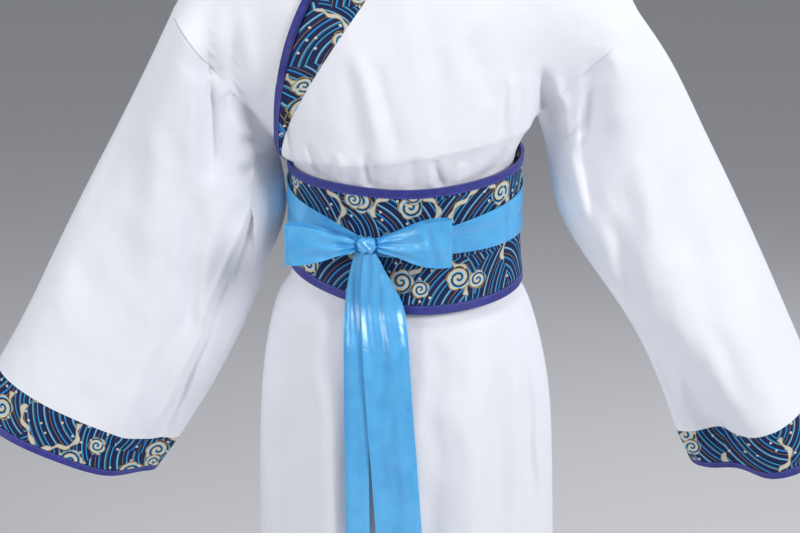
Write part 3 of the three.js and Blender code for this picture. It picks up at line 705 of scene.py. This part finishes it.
def centre_of(node):
    """The middle of a node's box, in millimetres."""
    low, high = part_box(node)
    return np.array((low + high) / 2) / MM


CUFF_AREAS = {"right": 0.0204, "left": 0.0193}
cuffs = {}
for side, area in CUFF_AREAS.items():
    cuff = cloth_from("cuff_" + side, side + "_cuff_band")
    points = points_of(cuff.data)
    down = centre_of("cuff_binding_" + side) - centre_of("cuff_" + side)
    down[1] = 0
    down /= np.linalg.norm(down)
    across = np.array([-down[2], 0, down[0]])
    # The print runs one way along the front layer and back along the other.
    behind = points[:, 1] > middle_of(cuff)(points)
    along = np.where(behind, -1, 1) * (points @ across)
    keep_coordinates(cuff, "cut", np.column_stack([along, points @ down]))
    crease(cuff, sleeve_creases[side], sleeves[side])
    dress(cuff, wave_print)
    cuffs[side] = cuff

# Cuff bindings
# A bias strip of royal-blue cloth, 9 mm wide when folded, is wrapped round each cuff's edge and
# stitched through close to the print.
# BLUE_SHADE is painted shade: the binding is coloured darker in the hollows of its bumped puckers.
BLUE = (0.027, 0.031, 0.27)
BLUE_SHADE = (0.017, 0.02, 0.19)
BLUE_THREAD = (0.07, 0.08, 0.44)
# In mm: how far from the print the stitches run, how far apart they are, and how much shows.
STITCH_INSET = 1.6
SMALL_STITCH = 3.0
SMALL_STITCH_SHOWS = 2.0
binding_blue, shader = finish_called("royal binding", Sheen_Weight=0.15)
spot = place_on(shader)
x, y, z = in_mm(spot)
inset, _, _ = parts_of(kept_on(shader, "inset"))
twill = ((x + z + y) * 5.5).sin()
puckers_and_painted_shade = spot.node("TexNoise", {}, {"Vector": spot, "Scale": 190.0, "Detail": 2.0})
# The puckers' hollows are painted in shade, BLUE_SHADE, and their tops in BLUE.
cloth = puckers_and_painted_shade.step(0.3, 0.7).tint(BLUE_SHADE, BLUE)
row = 1 - abs(inset - STITCH_INSET).step(0.25, 0.7)
thread = row * ((x + z + y * 0.7) % SMALL_STITCH < SMALL_STITCH_SHOWS)
relief = puckers_and_painted_shade + twill * 0.12 - row * 0.9
vary(
    shader,
    Base_Color=(thread * 0.7).tint(cloth, BLUE_THREAD),
    Roughness=0.42 + puckers_and_painted_shade * 0.2,
    Normal=spot.node("Bump", {}, {"Strength": 0.4, "Distance": 0.0006, "Height": relief}),
)


def distance_to(piece, other):
    """How far each point of a piece is from another piece as cut, in mm."""
    *_, tree = surface_of([other])
    return np.array([tree.find_nearest(Vector(point))[3] for point in points_of(piece.data)])


def bound(node, name, onto):
    """A binding strip along a piece's edge."""
    strip = cloth_from(node, name)
    keep_coordinates(strip, "inset", distance_to(strip, onto)[:, None])
    dress(strip, binding_blue)
    return strip


CUFF_EDGES = [
    # side, flat size, area
    ("right", (0.36, 0.0135), 0.0048),
    ("left", (0.345, 0.0135), 0.0046),
]
for side, flat, area in CUFF_EDGES:
    edge = bound("cuff_binding_" + side, side + "_cuff_edge", cuffs[side])
    crease(edge, sleeve_creases[side], cuffs[side], tucked=False)

# Collar
# One long straight band of the wave print runs down one lapel, round the back of the neck and
# down the other. It is sewn to the fronts and back, with a royal binding on its free edge.
collar = cloth_from("collar", "collar_band")
crease(collar, worn_creases, back, front_under, front_upper)
x, y, z = points_of(collar.data).T
# The print runs straight down both lapels and on over the shoulders.
keep_coordinates(collar, "cut", np.column_stack([x + 0.6 * y, z + 0.5 * y]))
dress(collar, wave_print)
collar_edge = bound("collar_binding", "collar_edge", collar)
crease(collar_edge, worn_creases, collar, tucked=False)

# Waistband
# A shaped band of stiffened wave print goes once round the waist over both fronts and closes at
# the middle of the back. Its upper and lower edges have royal bindings.
# The waist in mm: half its width, and how far it reaches before and behind its middle. The print
# is measured round it in steps of half a degree.
WAIST_HALF = 112
WAIST_FRONT = 84
WAIST_BEHIND = 76
WAIST_STEPS = 721


def about_the_waist(points):
    """Each point's turn from the middle of the front, and its height up the band in mm."""
    turn = np.arctan2(points[:, 0], -points[:, 1])
    return turn, points[:, 2] + BELT_DIP * np.cos(turn)


def round_the_waist(points):
    """Distance round the waist from the middle of the back, and height up the band, in mm."""
    turn = np.linspace(-math.pi, math.pi, WAIST_STEPS)
    ring_x = WAIST_HALF * np.sin(turn)
    ring_y = -np.where(np.cos(turn) > 0, WAIST_FRONT, WAIST_BEHIND) * np.cos(turn)
    length = np.concatenate([[0], np.cumsum(np.hypot(np.diff(ring_x), np.diff(ring_y)))])
    own, up = about_the_waist(points)
    return np.column_stack([np.interp(own, np.arctan2(ring_x, -ring_y), length), up])


def uncreased(points):
    """The waistband is stiffened, so it has no creases."""
    return 0 * points


waistband = cloth_from("waistband", "waistband_print")
crease(waistband, uncreased)
keep_coordinates(waistband, "cut", round_the_waist(points_of(waistband.data)))
dress(waistband, wave_print)
bound("waistband_binding_top", "waistband_top_edge", waistband)
bound("waistband_binding_bottom", "waistband_lower_edge", waistband)

# Ribbon round the waistband
# Two metres of sky-blue satin ribbon, 45 mm wide, holds the waistband. It goes round the body
# once, narrowed where it comes forward to the knot.
# SATIN_SHADE is painted shade: the satin is coloured darker in the hollows of its bumped folds.
SATIN = (0.086, 0.445, 0.83)
SATIN_SHADE = (0.062, 0.375, 0.75)
satin, shader = finish_called(
    "sky satin", Anisotropic=0.5, Specular_IOR_Level=0.9, Coat_Weight=0.2, Coat_Roughness=0.3
)
spot = place_on(shader)
drawn_out = spot.node("VectorMath", {"operation": "MULTIPLY"}, {0: spot, 1: (60.0, 60.0, 2600.0)})
threads = spot.node("TexNoise", {}, {"Vector": drawn_out, "Scale": 1.0})
# Soft folds for the bump. The same mask paints shade into their hollows, going from SATIN to
# SATIN_SHADE on their tops.
folds_and_painted_shade = spot.node("TexNoise", {}, {"Vector": spot, "Scale": 38.0, "Detail": 2.0, "Distortion": 0.9})
relief = threads * 0.1 + folds_and_painted_shade * 2.6
vary(
    shader,
    Base_Color=folds_and_painted_shade.step(0.3, 0.7).tint(SATIN_SHADE, SATIN),
    Roughness=0.26 + threads * 0.12,
    Normal=spot.node("Bump", {}, {"Strength": 0.5, "Distance": 0.001, "Height": relief}),
)


def pulled_tight(points):
    """The ribbon is pulled tight: it sinks in along a line near its middle, and rises above it."""
    turn, up = about_the_waist(points)
    middle = (up.max() + up.min()) / 2 + 5 * np.sin(turn * 2 + 0.5)
    inward = 1.1 * hump(up - middle, 3.2) - 0.7 * hump(up - middle - 9, 4)
    inward += 0.45 * ripples(turn * 90, up * 2.4, 21, 25)
    return -inward[:, None] * np.column_stack([np.sin(turn), -np.cos(turn), 0 * turn])


wrap = cloth_from("ribbon_wrap", "ribbon_round_waist")
crease(wrap, pulled_tight)
dress(wrap, satin)

# Bow
# The same ribbon is tied in a bow on the wearer's right: two flat loops, a small knot, and two
# long tails that hang down the skirt, one folded lengthwise.
KNOT = centre_of("bow_knot")
GATHERS_ROUND_KNOT = 19
GATHERS_APART = 12
# Creases of the loops, as the robe's are listed, in mm from the knot.
LOOP_CREASES = [
    # x0, z0, x1, z1, width, depth
    (-42, 19, -12, 3, 4, -1.7),  # the cloth rolled over across the right loop
    (-62, -12, -30, -7, 4, 1.1),
    (56, 25, 68, -18, 4, 1.4),  # left loop, across its end
    (14, 5, 48, 11, 8, 1.7),  # the hollow beside the knot
]


def wound(points):
    """The knot is the ribbon wound over itself: squarish, and creased across."""
    away = points - KNOT
    x, y, z = (away / np.linalg.norm(away, axis=1)[:, None]).T
    square = (np.abs(x) ** 3 + np.abs(y) ** 3 + np.abs(z) ** 3) ** (-1 / 3)
    grooves = 0.15 * np.abs(np.sin(4.2 * x + 1.6 * z + 0.9 * np.sin(3 * z))) ** 0.7
    waisted = 0.1 * np.cos(2.6 * x)
    return away * (square * (1.08 - grooves - waisted) - 1)[:, None]


def gathered(points):
    """Gathers fan out from the knot and fade along the loops, which are creased beyond them."""
    x, _, z = (points - KNOT).T
    out = np.hypot(x, z)
    fan = np.sin(np.arctan2(z, x) * GATHERS_ROUND_KNOT + 1.4 * ripples(x, z, 30, 31))
    deep = 1.5 * smooth(6, 15, out) * (1 - smooth(24, 66, out)) * fan
    deep += 1.5 * ripples(x, z, 17, 32) * smooth(10, 30, out) + creased(x, z, LOOP_CREASES)
    return np.column_stack([0 * x, deep, 0 * x])


def hanging(points):
    """Gathers run down from the knot, and longer soft folds carry on to the ends."""
    x, _, z = (points - KNOT).T
    tight = 1 - smooth(30, 150, -z)
    turn = x * (2 * math.pi / GATHERS_APART) + 2.4 * ripples(x, z * 0.5, 30, 33)
    deep = (0.2 + 0.8 * tight) * np.sin(turn) + 1.5 * ripples(x, z * 0.3, 15, 34)
    return np.column_stack([0 * x, deep, 0 * x])


bow_knot = cloth_from("bow_knot", "bow_knot_satin")
crease(bow_knot, wound)
dress(bow_knot, satin)
LOOPS = [
    # side, flat size, area
    ("right", (0.14, 0.045), 0.0045),
    ("left", (0.146, 0.045), 0.0054),
]
for side, flat, area in LOOPS:
    loop = cloth_from("bow_loop_" + side, side + "_bow_loop")
    crease(loop, gathered)
    dress(loop, satin)
for side in ("left", "right"):
    tail = cloth_from("tail_" + side, side + "_ribbon_tail")
    crease(tail, hanging)
    dress(tail, satin)

# Studio
# The floor is plain, pale and wide enough to fill the picture behind the robe. Wide soft lights
# stand left and right of the camera, one hangs overhead and one stands behind.
FLOOR_Z = -1.12
FLOOR_REACH = 16
PAPER = (0.7, 0.7, 0.72, 1)
CORNERS = [(-1, -1), (1, -1), (1, 1), (-1, 1)]
floor_mesh = bpy.data.meshes.new("floor")
floor_mesh.from_pydata(
    [(x * FLOOR_REACH, y * FLOOR_REACH, FLOOR_Z) for x, y in CORNERS], [], [(0, 1, 2, 3)]
)
floor = bpy.data.objects.new("floor", floor_mesh)
bpy.context.scene.collection.objects.link(floor)
paper, _ = finish_called("pale paper", Roughness=0.9, Base_Color=PAPER)
floor_mesh.materials.append(paper)

LIGHTS = [
    # name, place, aim, size, watts
    ("key light", (2.0, -1.6, 0.8), (0, 0, -0.4), 0.9, 48),
    ("fill light", (-1.9, -1.6, 0.4), (0, 0, -0.45), 1.1, 24),
    ("top light", (-0.2, -0.3, 1.9), (0, 0.1, -0.4), 1.1, 18),
    ("back light", (1.5, 1.8, 0.9), (0, 0, -0.4), 1.3, 16),
]
for name, place, aim, size, watts in LIGHTS:
    lamp = bpy.data.lights.new(name, "AREA")
    lamp.size = size
    lamp.energy = watts
    light = bpy.data.objects.new(name, lamp)
    light.location = place
    light.visible_camera = False
    light.rotation_euler = (Vector(place) - Vector(aim)).to_track_quat("Z", "Y").to_euler()
    bpy.context.scene.collection.objects.link(light)
ROOM_LIGHT = (0.9, 0.93, 1, 1)
ROOM_STRENGTH = 0.3
world = bpy.data.worlds.new("studio")
world.use_nodes = True
room = world.node_tree.nodes["Background"]
room.inputs["Color"].default_value = ROOM_LIGHT
room.inputs["Strength"].default_value = ROOM_STRENGTH
bpy.context.scene.world = world
bpy.context.scene.view_settings.view_transform = "Standard"
